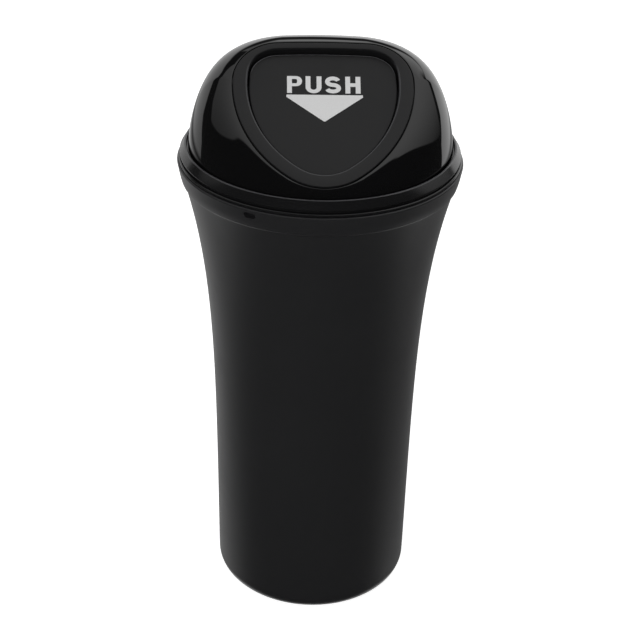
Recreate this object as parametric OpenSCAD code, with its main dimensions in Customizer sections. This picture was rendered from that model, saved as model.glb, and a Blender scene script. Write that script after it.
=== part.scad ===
// Small round waste bin for a car: a flared barrel, a clamping ring for the bag in its mouth,
// and a domed lid whose sloping face holds a sprung flap that swings inwards on a steel pin.
// Z points up from the floor the bin stands on, the flap faces -Y, and sizes are millimetres.

/* [Barrel] */
// Outer radius of the barrel just above its rounded foot
base_r = 34.9; // [34:0.1:36.5]
// Height of the barrel to the top of its rim band
barrel_h = 166.4; // [150:0.1:175]
// Outer radius of the rim band at its top
mouth_r = 47.5; // [47:0.1:48.2]
// How much slimmer the barrel is under its rim band than at the mouth
flare_in = 2; // [1.7:0.1:2.3]
// Widening of the barrel by its plain taper, foot to rim band
taper = 1.3; // [1:0.1:2.2]
// Power of the flare: a higher one keeps the lower barrel straighter
flare_power = 4.7; // [4:0.1:5.5]
// Wall thickness of the barrel
barrel_wall = 1.8; // [1.5:0.1:2.1]
// Thickness of the floor
floor_t = 2.2; // [1.8:0.1:3]
// Radius of the rounded bottom edge
foot_round = 4.9; // [4:0.1:5.5]
// Inner radius of the ring that the bin stands on
foot_ring_in = 26.5; // [22:0.5:27.5]
// Depth of the recess inside that ring
foot_recess = 1.2; // [0.8:0.1:1.6]
// Height of the rim band
band_h = 6.8; // [6:0.1:7.5]
// Step from the barrel out to the rim band
band_step = 0.6; // [0.4:0.05:0.8]
// Wall thickness of the rim band at its top
band_wall = 2.1; // [1.9:0.1:2.3]
// Radius of the dimple's round ends
dimple_r = 0.95; // [0.7:0.05:1.2]
// Distance between the centres of those ends
dimple_l = 2.2; // [1.6:0.1:3]
// Depth of the dimple, from the radius of the mouth
dimple_t = 1.4; // [1.1:0.05:1.5]
// Direction that the dimple faces, from +X
dimple_turn = -117; // [-150:1:-30]

/* [Bag ring] */
// Height of the bead that shows between barrel and lid
bead_h = 1.8; // [1.6:0.1:2.2]
// How far the bead lies in from the edge of the rim band
bead_in = 0.5; // [0.4:0.05:0.7]
// Depth of the skirt that wedges the bag against the barrel
ring_skirt = 7.4; // [6:0.1:9]
// Thinnest wall of that skirt, at its lower edge
ring_wall = 1.2; // [1:0.1:1.4]
// Room left for the film of the bag
bag_room = 0.3; // [0.3:0.05:0.4]

/* [Lid collar] */
// Radial clearance of the lid's plug in the ring
lid_fit = 0.15; // [0.1:0.05:0.25]
// Wall thickness of the plug
plug_wall = 1.6; // [1.3:0.1:1.8]
// Depth of the plug below the seat
plug_depth = 8.8; // [7:0.1:10]
// Step from the bead in to the lid's lip
lip_inset = 0.4; // [0.3:0.05:0.6]
// Height of the shadow gap under the lip
shadow_gap = 0.8; // [0.6:0.1:1]
// Width of the lip, edge to groove
lip_w = 2.25; // [2.1:0.05:2.5]
// Height of the lip above the seat
lip_h = 3.2; // [3:0.1:3.5]
// Width of the groove between lip and dome
groove_w = 0.55; // [0.4:0.05:0.7]
// Thickness of the collar's floor under the dome
collar_floor = 1.5; // [1.2:0.1:1.8]
// Height of the upstand that centres the dome
upstand_h = 1.2; // [0.9:0.1:1.3]
// Clearance between that upstand and the dome
dome_fit = 0.25; // [0.2:0.05:0.3]

/* [Dome] */
// Wall thickness of the dome
dome_wall = 1.8; // [1.5:0.1:2]
// Height of the dome's upright foot
foot_h = 0.4; // [0.3:0.1:0.6]
// Height of the sloping face's lower tip above the foot of the dome
tip_rise = 5; // [4.6:0.1:6]
// Distance of that tip from the dome's side
tip_back = 1.1; // [1:0.1:1.6]
// Slope of the face that holds the flap
slope = 33; // [29:0.5:36]
// Fullness of the dome's shoulder: 1 is a plain ellipse, more is slacker
shoulder = 1.27; // [1:0.01:1.5]
// Width of the dome's rim round the bezel
rim_w = 0.5; // [0.4:0.05:0.6]
// Clearance between that rim and the bezel's edge
seat_gap = 0.15; // [0.1:0.05:0.2]

/* [Bezel and flap outline] */
// Half the distance between the centres of the two upper corners
corner_x = 13.9; // [13:0.1:14.4]
// Height of those centres above the middle of the face
corner_up = 11.4; // [10.5:0.1:12]
// Radius of the upper corners of the bezel
corner_r = 14.8; // [14:0.1:15]
// Distance of the tip's centre below the middle of the face
tip_down = 9.9; // [9:0.1:10.5]
// Radius of the tip of the bezel
tip_r = 18.1; // [17:0.1:19]
// Radius of the bulging sides of the bezel
side_r = 43.4; // [41:0.1:48]
// Radius of the bulging top of the bezel
top_r = 300; // [200:10:400]
// How much nearer to the top the flap's corners sit than the bezel's
lift = 1.4; // [0.8:0.1:1.5]

/* [Bezel] */
// Width of the bezel's face
face_w = 3.9; // [3.6:0.1:4.1]
// How far the bezel stands out of the dome
proud = 0.3; // [0.2:0.05:0.4]
// Depth of the seat that the bezel's face lies in
seat_depth = 1.4; // [1.2:0.1:1.6]
// Thickness of the dome's ledge under the bezel
ledge_t = 1.6; // [1.4:0.1:1.8]
// Wall thickness of the well round the flap
well_wall = 1.1; // [1:0.05:1.2]
// Depth of the well below the face
well_depth = 4.4; // [4.3:0.1:4.8]
// How much the well narrows from the face to the flap
well_lean = 0.8; // [0.6:0.1:1]
// Clearance between bezel and dome
bezel_gap = 0.25; // [0.2:0.05:0.3]

/* [Flap] */
// Depth of the flap's face below the bezel's seat plane
flap_sink = 2.5; // [2.2:0.1:2.7]
// Thickness of the flap
flap_t = 1.6; // [1.4:0.1:1.7]
// Gap round the flap
flap_gap = 0.4; // [0.3:0.05:0.5]
// Thickness of the stop rim behind the flap
stop_t = 1; // [0.8:0.1:1.2]
// How far the stop rim reaches under the well's edge
stop_reach = 0.7; // [0.5:0.1:0.8]
// Clearance between the stop rim and the well's edge
stop_gap = 0.25; // [0.2:0.05:0.3]

/* [Hinge] */
// Radius of the hinge pin
pin_r = 0.8; // [0.7:0.05:0.9]
// Radial clearance of the pin in the flap's knuckles
pin_fit = 0.06; // [0.04:0.01:0.1]
// Radius of the knuckles and ears
knuckle_r = 2; // [1.8:0.05:2.1]
// Distance of the pin from the flap's upper edge
pin_back = 2.2; // [2:0.1:2.4]
// Clearance between the ears and the back of the flap
ear_gap = 0.2; // [0.2:0.05:0.4]
// Distance from the middle to the near side of an ear
ear_x = 13.4; // [12.5:0.1:13.8]
// Thickness of an ear
ear_t = 2.2; // [1.8:0.1:2.6]
// Length of a knuckle
knuckle_len = 7; // [5:0.5:8]
// Side play between ear and knuckle
side_play = 0.3; // [0.2:0.05:0.5]
// Radius of the spring's wire
wire_r = 0.3; // [0.25:0.01:0.32]
// Turns of the spring
spring_turns = 5; // [4:1:6]
// Length of the spring's arm behind the flap
spring_arm = 9; // [7:0.5:12]

/* [Hidden] */
$fn = 128;

// Steps of the lofted shapes: round the outline, up the dome's outside and up its inside
around = 96;
dome_steps = 14;
lining_steps = 7;
// Steps of the barrel's flare and of the small round edges
flare_steps = 14;
round_steps = 5;

// Heights
step_z = barrel_h - band_h;
seat_z = barrel_h + bead_h;
dome_z = seat_z + collar_floor;
spring_z = dome_z + foot_h;

// Radii
flare_r = mouth_r - flare_in;
ring_bore = barrel_in(barrel_h - ring_skirt) - bag_room - ring_wall;
bead_r = mouth_r - bead_in;
plug_r = ring_bore - lid_fit;
plug_in = plug_r - plug_wall;
lip_r = bead_r - lip_inset;
dome_r = lip_r - lip_w - groove_w;

// Insets of the outlines that lie inside the bezel's own
well_d = face_w + well_lean;
skirt_d = well_d - well_wall;
flap_d = well_d + flap_gap;
stop_d = well_d - stop_reach;
opening_d = skirt_d - bezel_gap;

// Place of the sloping face: its lower tip stands over the foot of the dome
tip_v = tip_down + tip_r;
face_y = tip_v * cos(slope) - (dome_r - tip_back);
face_z = dome_z + tip_rise + tip_v * sin(slope);

// Place of the hinge pin in the face's own axes
pin_v = outline(90, flap_d, lift).y - pin_back;
pin_n = -(flap_sink + flap_t + ear_gap + knuckle_r);

// Outer radius of the barrel at a height under the rim band: plain taper and flare
function barrel_r(z) =
    base_r + taper * z / step_z + (flare_r - base_r - taper) * pow(z / step_z, flare_power);

// Inner radius of the barrel at a height, straight up the rim band
function barrel_in(z) =
    z < step_z
    ? barrel_r(z) - barrel_wall
    : flare_r - barrel_wall + (mouth_r - band_wall - flare_r + barrel_wall) * (z - step_z) / band_h;

// Points of a quarter round about [r, z], from one angle to another
function arc(r, z, radius, from, to, steps = round_steps) =
    [for (i = [0:steps]) let (a = from + (to - from) * i / steps) [r + radius * cos(a), z + radius * sin(a)]];

// Centre of the bulging side, which touches the corner's and the tip's circles
function side_centre(corner, tip) =
    let (
        line = corner - tip,
        span = norm(line),
        to_tip = side_r - tip_r,
        to_corner = side_r - corner_r,
        along = (span * span + to_tip * to_tip - to_corner * to_corner) / (2 * span),
        across = sqrt(to_tip * to_tip - along * along),
        unit = line / span
    )
    tip + along * unit + across * [-unit.y, unit.x];

// Point of the rounded triangle whose outward normal has angle a, inset by d.
// Its corners, tip, sides and top are arcs that run into one another.
function outline(a, d, up = 0) =
    let (
        corner = [corner_x, corner_up + up],
        tip = [0, -tip_down],
        side = side_centre(corner, tip),
        top = [0, corner.y - sqrt(pow(top_r - corner_r, 2) - pow(corner_x, 2))],
        turn = atan2(sin(a), abs(cos(a))),
        at_top = atan2(corner.y - top.y, corner.x - top.x),
        at_corner = atan2(corner.y - side.y, corner.x - side.x),
        at_tip = atan2(tip.y - side.y, tip.x - side.x),
        centre = turn > at_top ? top : turn > at_corner ? corner : turn > at_tip ? side : tip,
        radius = turn > at_top ? top_r : turn > at_corner ? corner_r : turn > at_tip ? side_r : tip_r,
        p = centre + (radius - d) * [cos(turn), sin(turn)]
    )
    [sign(cos(a)) * p.x, p.y];

// Angles at which the outlines are drawn
function angles() = [for (i = [0:around - 1]) 360 * i / around - 90];

// A point of the sloping face, n above it, in the bin's axes
function on_face_pt(p, n) =
    [p.x, face_y + p.y * cos(slope) - n * sin(slope), face_z + p.y * sin(slope) + n * cos(slope)];

// A point of the dome's skin between the round foot of radius r and the outline inset by d, n deep.
// At the front it runs out into the slope of the face, and at the back it runs out level.
function skin_pt(a, s, r, d, n) =
    let (
        top = on_face_pt(outline(a, d), n),
        across = 1 - cos(s),
        up = pow(sin(s), shoulder),
        x = (1 - across) * r * cos(a) + across * top.x,
        y = (1 - across) * r * sin(a) + across * top.y,
        leaning = (1 - sin(a)) / 2 * tan(slope) * (y - top.y)
    )
    [x, y, spring_z + up * (top.z + leaning - spring_z)];

// Solid between sections of equal point counts, closed to a ring or capped at its two ends
module swept(sections, closed = false) {
    n = len(sections);
    m = len(sections[0]);
    last = closed ? n - 1 : n - 2;
    sides = [
        for (i = [0:last], j = [0:m - 1])
            let (k = (i + 1) % n * m, l = (j + 1) % m, c = i * m)
            each [[c + j, c + l, k + l], [c + j, k + l, k + j]]
    ];
    caps = closed ? [] : [[for (j = [m - 1:-1:0]) j], [for (j = [0:m - 1]) (n - 1) * m + j]];
    polyhedron([for (s = sections) each s], concat(sides, caps));
}

// Children drawn in the axes of the sloping face
module on_face() {
    translate([0, face_y, face_z]) rotate([slope, 0, 0]) children();
}

// Children drawn about the hinge pin, with x along it
module on_pin() {
    on_face() translate([0, pin_v, pin_n]) children();
}

// A round bar along the pin's axis, from one distance to another
module along_pin(from, to, r) {
    translate([from, 0, 0]) rotate([0, 90, 0]) cylinder(h = to - from, r = r);
}

// Flared cup with a foot ring, a stepped rim band and a small oval dimple in the band
module barrel() {
    floor_z = foot_recess + floor_t;
    inner_round = foot_round - barrel_wall;
    flare_from = floor_z + inner_round;
    flare_z = [for (i = [0:flare_steps]) flare_from + (step_z - flare_from) * pow(i / flare_steps, 0.62)];
    outside = concat(
        arc(base_r - foot_round, foot_round, foot_round, -90, 0),
        [for (i = [1:flare_steps]) [barrel_r(flare_z[i]), flare_z[i]]]
    );
    band = concat(
        [[flare_r + band_step, step_z]],
        arc(mouth_r - 0.5, barrel_h - 0.5, 0.5, 0, 90, 3)
    );
    inside = concat(
        [[barrel_in(barrel_h), barrel_h]],
        [for (i = [flare_steps:-1:1]) [barrel_in(flare_z[i]), flare_z[i]]],
        arc(barrel_in(floor_z) - inner_round, floor_z + inner_round, inner_round, 0, -90)
    );
    under = [[0, floor_z], [0, foot_recess], [foot_ring_in - foot_recess, foot_recess], [foot_ring_in, 0]];
    color([0.1, 0.1, 0.11])
        difference() {
            rotate_extrude() polygon(concat(outside, band, inside, under));
            dimple();
        }
}

// Shallow oval pocket in the rim band, left of the flap's middle
module dimple() {
    rotate([0, 0, dimple_turn])
        translate([mouth_r - dimple_t, 0, step_z + band_h * 0.56])
            rotate([0, 90, 0])
                for (side = [-1, 1]) translate([0, side * dimple_l / 2, 0]) cylinder(h = 2, r = dimple_r);
}

// Ring on the rim: a round bead outside, and inside a wedge that clamps the bag to the barrel
module bag_ring() {
    skirt_z = barrel_h - ring_skirt;
    bead = bead_h / 2;
    wedge = [for (i = [0:4]) let (z = skirt_z + ring_skirt * i / 4) [barrel_in(z) - bag_room, z]];
    profile = concat(
        wedge,
        arc(bead_r - bead, barrel_h + bead, bead, -90, 90, 8),
        [[ring_bore + 0.4, seat_z], [ring_bore, seat_z - 0.4], [ring_bore, skirt_z]]
    );
    color([0.09, 0.09, 0.1]) rotate_extrude() polygon(profile);
}

// Collar of the lid: a plug that pushes into the ring, a lip outside and a groove for the dome
module lid_collar() {
    upstand_r = dome_r - dome_wall - dome_fit;
    upstand_z = dome_z + upstand_h;
    lip_z = seat_z + lip_h;
    groove_r = dome_r + groove_w;
    edge_z = seat_z + shadow_gap;
    profile = [
        [plug_in, seat_z - plug_depth],
        [plug_r - 0.5, seat_z - plug_depth],
        [plug_r, seat_z - plug_depth + 0.9],
        [plug_r, seat_z],
        [lip_r - 1.1, seat_z],
        [lip_r - 1.1, edge_z],
        [lip_r - 0.15, edge_z],
        [lip_r, edge_z + 0.25],
        [lip_r - 0.25, edge_z + 0.65],
        [groove_r + 0.75, lip_z - 0.2],
        [groove_r + 0.45, lip_z],
        [groove_r + 0.15, lip_z],
        [groove_r, lip_z - 0.2],
        [groove_r, dome_z],
        [upstand_r, dome_z],
        [upstand_r, upstand_z - 0.4],
        [upstand_r - 0.4, upstand_z],
        [plug_in, upstand_z]
    ];
    color([0.1, 0.1, 0.11]) rotate_extrude() polygon(profile);
}

// Glossy dome: a skin from the round foot to the rounded triangle of the face, with its lining,
// the seat that the bezel lies in and the opening behind it
module lid_dome() {
    ledge_n = -(seat_depth + ledge_t);
    sections = [
        for (a = angles())
            concat(
                [[dome_r * cos(a), dome_r * sin(a), dome_z]],
                [for (i = [0:dome_steps]) skin_pt(a, 90 * i / dome_steps, dome_r, -rim_w, 0)],
                [
                    on_face_pt(outline(a, -seat_gap), 0),
                    on_face_pt(outline(a, -seat_gap), -seat_depth),
                    on_face_pt(outline(a, opening_d, lift), -seat_depth),
                    on_face_pt(outline(a, opening_d, lift), ledge_n)
                ],
                [for (i = [lining_steps:-1:0])
                    skin_pt(a, 90 * i / lining_steps, dome_r - dome_wall, dome_wall - rim_w, ledge_n)],
                [[(dome_r - dome_wall) * cos(a), (dome_r - dome_wall) * sin(a), dome_z]]
            )
    ];
    color([0.03, 0.03, 0.035]) swept(sections, closed = true);
}

// Matt bezel: a face in the dome's seat, a well round the flap, hooks that snap behind the dome's
// ledge, and two ears that carry the hinge pin
module flap_bezel() {
    // Each corner of the ring's section: inset, height over the face, share of the flap's lift
    ring = [
        [0, -seat_depth, 0], [0, proud - 0.35, 0], [0.12, proud - 0.1, 0], [0.4, proud, 0],
        [face_w - 0.4, proud, 1], [face_w - 0.05, proud - 0.15, 1], [face_w + 0.15, proud - 0.5, 1],
        [well_d, -flap_sink, 1], [well_d, -well_depth, 1], [skirt_d, -well_depth, 1], [skirt_d, -seat_depth, 1]
    ];
    sections = [for (a = angles()) [for (p = ring) on_face_pt(outline(a, p[0], p[2] * lift), p[1])]];
    color([0.14, 0.14, 0.15]) {
        swept(sections, closed = true);
        on_face() for (a = [-90, -25, 205, 48, 132]) snap_hook(a);
        difference() {
            for (side = [-1, 1]) ear(side);
            on_pin() along_pin(-ear_x - 2 * ear_t, ear_x + 2 * ear_t, pin_r);
        }
    }
}

// Wedge outside the well that snaps behind the dome's ledge
module snap_hook(a) {
    top = -(seat_depth + ledge_t + 0.1);
    low = 0.2 - well_depth;
    hook = [[-0.5, top], [bezel_gap + 0.7, top], [bezel_gap + 0.7, top - 0.3], [-0.2, low], [-0.5, low]];
    translate([each outline(a, skirt_d, lift), 0])
        rotate([90, 0, a])
            translate([0, 0, -2]) linear_extrude(4) polygon(hook);
}

// Ear under the upper edge of the well
module ear(side) {
    from = side > 0 ? ear_x : -ear_x - ear_t;
    reach = well_d - skirt_d + pin_back - 0.4;
    on_pin() {
        along_pin(from, from + ear_t, knuckle_r);
        translate([from, 0, -knuckle_r]) cube([ear_t, reach, knuckle_r * 2]);
        translate([from, reach - 1, -knuckle_r]) cube([ear_t, 1, knuckle_r + 0.5 - pin_n - well_depth]);
    }
}

// Flap: one skin over its face, its edge and the stop rim behind its sides and tip, and two knuckles
module flap() {
    back = -(flap_sink + flap_t);
    rim_out = flap_d + 0.3;
    rim_in = flap_d + 1.3;
    rim_top = -(well_depth + stop_gap);
    rim_low = rim_top - stop_t;
    // Loops of the skin as inset and height, from the face's edge to the inside of the rim
    edge = [
        [flap_d + 0.55, -flap_sink], [flap_d + 0.15, -flap_sink - 0.12], [flap_d, -flap_sink - 0.5], [flap_d, back]
    ];
    rim = [
        [rim_out, back], [rim_out, rim_top], [stop_d, rim_top], [stop_d, rim_low], [rim_in, rim_low], [rim_in, back]
    ];
    last = len(rim) - 1;
    // In the upper half, towards the hinge, the rim's loops lie flat on the flap's back
    loops = concat(
        [for (p = edge) [for (a = angles()) on_face_pt(outline(a, p[0], lift), p[1])]],
        [for (i = [0:last])
            [for (a = angles())
                let (flat = [rim_out + (rim_in - rim_out) * i / last, back], p = sin(a) < 0.01 ? rim[i] : flat)
                on_face_pt(outline(a, p[0], lift), p[1])]]
    );
    color([0.16, 0.16, 0.17]) {
        swept(loops);
        difference() {
            for (side = [-1, 1]) knuckle(side);
            on_pin() along_pin(-ear_x, ear_x, pin_r + pin_fit);
        }
    }
}

// Knuckle under the flap, beside an ear
module knuckle(side) {
    near = ear_x - side_play - knuckle_len;
    from = side > 0 ? near : -near - knuckle_len;
    on_pin() {
        along_pin(from, from + knuckle_len, knuckle_r);
        translate([from, -knuckle_r, 0]) cube([knuckle_len, 2 * knuckle_r - 0.4, knuckle_r + ear_gap + 0.2]);
    }
}

// Steel pin through ears, knuckles and spring
module hinge_pin() {
    color([0.75, 0.75, 0.77]) on_pin() along_pin(-ear_x - ear_t, ear_x + ear_t, pin_r);
}

// Torsion spring round the pin: one arm bears on the well's edge, the other on the flap's back
module return_spring() {
    coil_r = pin_r + wire_r + 0.2;
    pitch = 2 * wire_r + 0.15;
    half = spring_turns * pitch / 2;
    per_turn = 14;
    lift_arm = knuckle_r + ear_gap - wire_r - 0.25 - coil_r;
    path = concat(
        [[-half, pin_back + 1.1, coil_r + 0.15]],
        [for (i = [0:spring_turns * per_turn])
            let (a = 90 + 360 * i / per_turn) [-half + pitch * i / per_turn, coil_r * cos(a), coil_r * sin(a)]],
        [[half, -spring_arm, coil_r + lift_arm]]
    );
    color([0.7, 0.7, 0.72]) on_pin() wire(path, wire_r);
}

// Round wire along a path that never runs along x
module wire(path, r, sides = 8) {
    last = len(path) - 1;
    swept([
        for (i = [0:last])
            let (
                way = path[min(i + 1, last)] - path[max(i - 1, 0)],
                unit = way / norm(way),
                side = [1, 0, 0] - unit.x * unit,
                out = side / norm(side),
                up = cross(unit, out)
            )
            [for (j = [0:sides - 1]) path[i] + r * (cos(360 * j / sides) * out - sin(360 * j / sides) * up)]
    ]);
}

barrel();
bag_ring();
lid_collar();
lid_dome();
flap_bezel();
flap();
hinge_pin();
return_spring();
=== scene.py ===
import math

import bpy
import numpy as np
from mathutils import Matrix, Vector


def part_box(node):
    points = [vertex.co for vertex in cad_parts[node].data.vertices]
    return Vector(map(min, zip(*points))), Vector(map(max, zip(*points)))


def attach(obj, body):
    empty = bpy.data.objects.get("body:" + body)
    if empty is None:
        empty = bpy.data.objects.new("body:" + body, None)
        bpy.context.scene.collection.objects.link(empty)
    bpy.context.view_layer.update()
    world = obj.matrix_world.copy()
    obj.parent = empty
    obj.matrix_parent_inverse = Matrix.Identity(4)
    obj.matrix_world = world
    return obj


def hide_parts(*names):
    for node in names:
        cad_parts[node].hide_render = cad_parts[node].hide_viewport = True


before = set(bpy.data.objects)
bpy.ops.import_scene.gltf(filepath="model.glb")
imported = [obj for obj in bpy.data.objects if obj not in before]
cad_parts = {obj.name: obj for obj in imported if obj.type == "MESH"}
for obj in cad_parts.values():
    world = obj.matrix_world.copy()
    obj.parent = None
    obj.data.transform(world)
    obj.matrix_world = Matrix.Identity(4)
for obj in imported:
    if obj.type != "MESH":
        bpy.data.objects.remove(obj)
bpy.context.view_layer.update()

# Looks of a small car waste bin: satin barrel and lid collar, high-gloss dome, matt bezel and flap.
# The shapes are worked out in millimetres and scaled to metres when a mesh is made.
MM = 0.001

# Barrel, as its CAD node is drawn
BASE_R = 34.9
FLARE_IN = 2.0
TAPER = 1.3
FLARE_POWER = 4.7
BARREL_WALL = 1.8
FLOOR_T = 2.2
FOOT_ROUND = 4.9
FOOT_RING_IN = 26.5
FOOT_RECESS = 1.2
FOOT_RING_W = 3.0
FOOT_EDGE = 0.3
BAND_H = 6.8
BAND_STEP = 0.6
BAND_WALL = 2.1
BAND_CROWN = 0.95
BAND_EDGE_H = 0.6
BAND_EDGE_IN = 0.12
BAND_ROUND = 0.62
RIM_ROUND = 0.5
RIM_IN_ROUND = 0.3
DIMPLE_R = 0.95
DIMPLE_L = 2.2
DIMPLE_DEPTH = 1.8
DIMPLE_SOFT = 0.12
DIMPLE_HEIGHT = 0.69 * BAND_H
DIMPLE_TURN = math.radians(-119.3)

# Bag ring and lid collar
BEAD_IN = 0.5
BEAD_H = 1.1
NECK_IN = 1.3
RING_SKIRT = 7.4
RING_WALL = 1.2
BAG_ROOM = 0.3
LID_FIT = 0.15
PLUG_WALL = 1.6
PLUG_DEPTH = 8.8
PLUG_LEAD = np.array([0.5, 0.9])
LIP_INSET = 0.4
SHADOW_GAP = 0.35
SHADOW_DEPTH = 1.1
LIP_W = 2.25
LIP_H = 3.2
LIP_EDGE_H = 0.3
CREST_W = 0.62
CREST_LEAN = np.array([0.16, 0.2])
# Height of the band of painted highlight along the crest
CREST_HIGHLIGHT_H = 0.14
GROOVE_W = 0.55
COLLAR_FLOOR = 1.5
UPSTAND_H = 1.2
DOME_FIT = 0.25
FINE_EDGE = 0.1

# Dome and its sloping face
DOME_WALL = 1.8
DOME_FOOT = 0.4
TIP_RISE = 5.0
TIP_BACK = 1.1
SLOPE = math.radians(33)
SHOULDER = 1.27
RIM_W = 0.5
SEAT_GAP = 0.28
CORNER = np.array([13.9, 11.4])
CORNER_R = 14.8
TIP = np.array([0.0, -9.9])
TIP_R = 18.1
SIDE_R = 43.4
TOP_R = 300.0
LIFT = 1.4
TOP_START = 0.05
TOP_BLEND = 0.75

# Bezel and flap
FACE_W = 3.9
PROUD = 0.3
SEAT_DEPTH = 1.4
LEDGE_T = 1.6
WELL_WALL = 1.1
WELL_DEPTH = 4.4
WELL_LEAN = 0.8
WELL_LEAN_END = 0.8
SIDE_FACE_IN = 0.02
TOP_FACE_IN = 0.03
LIFT_EDGE = 0.4
BEZEL_GAP = 0.25
# Width of the band of painted highlight along the bezel's inner edge
BEZEL_HIGHLIGHT_W = 0.5
HOOK_ANGLES = (-90, -25, 205, 48, 132)
HOOK_L = 4.0
HOOK_REACH = 0.7
HOOK_EDGE_H = 0.3
HOOK_ROOT = 0.5
FLAP_SINK = 1.7
FLAP_T = 2.4
FLAP_GAP = 0.4
FLAP_ROUND = 0.42
# Reach of the band of painted highlight on the flap's edge
FLAP_HIGHLIGHT = np.array([0.4, 0.35])
STOP_T = 1.0
STOP_REACH = 0.7
STOP_GAP = 0.25
STOP_IN = 0.3
STOP_WALL = 1.0
STOP_END = math.radians(5)
TOP_GAIN = 0.6

# Hinge and spring
PIN_R = 0.8
PIN_FIT = 0.06
KNUCKLE_R = 2.0
PIN_BACK = 2.2
EAR_GAP = 0.2
EAR_X = 13.4
EAR_T = 2.2
EAR_ROOT = 0.5
ROOT_OVERLAP = 0.4
KNUCKLE_LEN = 7.0
SIDE_PLAY = 0.3
WIRE_R = 0.3
SPRING_TURNS = 5
SPRING_ARM = 9.0
COIL_PLAY = 0.2
TURN_PLAY = 0.15
ARM_PLAY = 0.25

# Heights and radii that the CAD parts give
BARREL_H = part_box("barrel")[1].z / MM
MOUTH_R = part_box("barrel")[1].x / MM
SEAT_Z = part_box("bag_ring")[1].z / MM
STEP_Z = BARREL_H - BAND_H
DOME_Z = SEAT_Z + COLLAR_FLOOR
SPRING_Z = DOME_Z + DOME_FOOT
FLARE_R = MOUTH_R - FLARE_IN
BEAD_R = MOUTH_R - BEAD_IN
LIP_R = BEAD_R - LIP_INSET
DOME_R = LIP_R - LIP_W - GROOVE_W

# Insets of the outlines that lie inside the bezel's own
WELL_D = FACE_W + WELL_LEAN
SKIRT_D = WELL_D - WELL_WALL
FLAP_D = WELL_D + FLAP_GAP
STOP_D = WELL_D - STOP_REACH
OPENING_D = SKIRT_D - BEZEL_GAP

# Place of the sloping face, over the foot of the dome
TIP_V = TIP_R - TIP[1]
FACE_Y = TIP_V * math.cos(SLOPE) - (DOME_R - TIP_BACK)
FACE_Z = DOME_Z + TIP_RISE + TIP_V * math.sin(SLOPE)
PIN_N = -(FLAP_SINK + FLAP_T + EAR_GAP + KNUCKLE_R)

# Fineness: steps round the turned pieces, round the outline and along the sections
ROUND_STEPS = 256
OUTLINE_STEPS = 480
DOME_STEPS = 64
LINING_STEPS = 28
FLARE_STEPS = 90
FLARE_SPREAD = 0.8
BAND_STEPS = 60
INSIDE_STEPS = 70
DIMPLE_STEPS = 70
DIMPLE_SPAN = 5.2
WEDGE_STEPS = 14
BEAD_STEPS = 21
BORE_STEPS = 96
COIL_STEPS = 40
WIRE_SIDES = 16


def barrel_outer(z):
    """Radius of the barrel's outside: a plain taper plus a power curve for the flare."""
    share = z / STEP_Z
    return BASE_R + TAPER * share + (FLARE_R - BASE_R - TAPER) * share**FLARE_POWER


def barrel_inner(z):
    """Radius of the barrel's inside: the outside less the wall, then straight up the rim band."""
    z = np.asarray(z, float)
    below = barrel_outer(np.minimum(z, STEP_Z)) - BARREL_WALL
    low = FLARE_R - BARREL_WALL
    above = low + (MOUTH_R - BAND_WALL - low) * (z - STEP_Z) / BAND_H
    return np.where(z < STEP_Z, below, above)


def side_centre(corner):
    """Centre of the bulging side: the circle of SIDE_R that touches the corner's and the tip's circles."""
    line = corner - TIP
    span = np.hypot(*line)
    to_tip = SIDE_R - TIP_R
    to_corner = SIDE_R - CORNER_R
    along = (span**2 + to_tip**2 - to_corner**2) / (2 * span)
    across = math.sqrt(to_tip**2 - along**2)
    unit = line / span
    return TIP + along * unit + across * np.array([-unit[1], unit[0]])


def outline(angle, inset, lift=0.0):
    """Rounded triangle by its normal's angle: arcs of tip, side, corner and top that touch, inset by a
    width, with its upper part lifted."""
    corner = CORNER + np.array([0, lift])
    side = side_centre(corner)
    top = np.array([0, corner[1] - math.sqrt((TOP_R - CORNER_R) ** 2 - corner[0] ** 2)])
    turn = np.arctan2(np.sin(angle), np.abs(np.cos(angle)))
    joints = [math.atan2(*(corner - centre)[::-1]) for centre in (top, side)]
    joints.append(math.atan2(*(TIP - side)[::-1]))
    which = sum((turn <= joint).astype(int) for joint in joints)
    centres = np.array([top, corner, side, TIP])[which]
    radii = np.array([TOP_R, CORNER_R, SIDE_R, TIP_R])[which] - inset
    x = centres[:, 0] + radii * np.cos(turn)
    return np.stack([np.sign(np.cos(angle)) * x, centres[:, 1] + radii * np.sin(turn)], -1)


def top_share(angle):
    """How far a place of the outline belongs to its upper side: 0 on the slanting sides, 1 along the top."""
    share = np.clip((np.sin(angle) - TOP_START) / TOP_BLEND, 0, 1)
    return share * share * (3 - 2 * share)


def on_face(flat, height):
    """Points of the sloping face: across, up the slope and along its normal, as x, y, z of the bin."""
    up = flat[..., 1]
    y = FACE_Y + up * math.cos(SLOPE) - height * math.sin(SLOPE)
    z = FACE_Z + up * math.sin(SLOPE) + height * math.cos(SLOPE)
    return np.stack([flat[..., 0] + 0 * y, y, z], -1)


def outline_angles():
    """Angles round the outline, from the tip, a hair off the symmetry plane."""
    return np.linspace(-90, 270, OUTLINE_STEPS, endpoint=False) * math.pi / 180 + 1e-9


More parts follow.
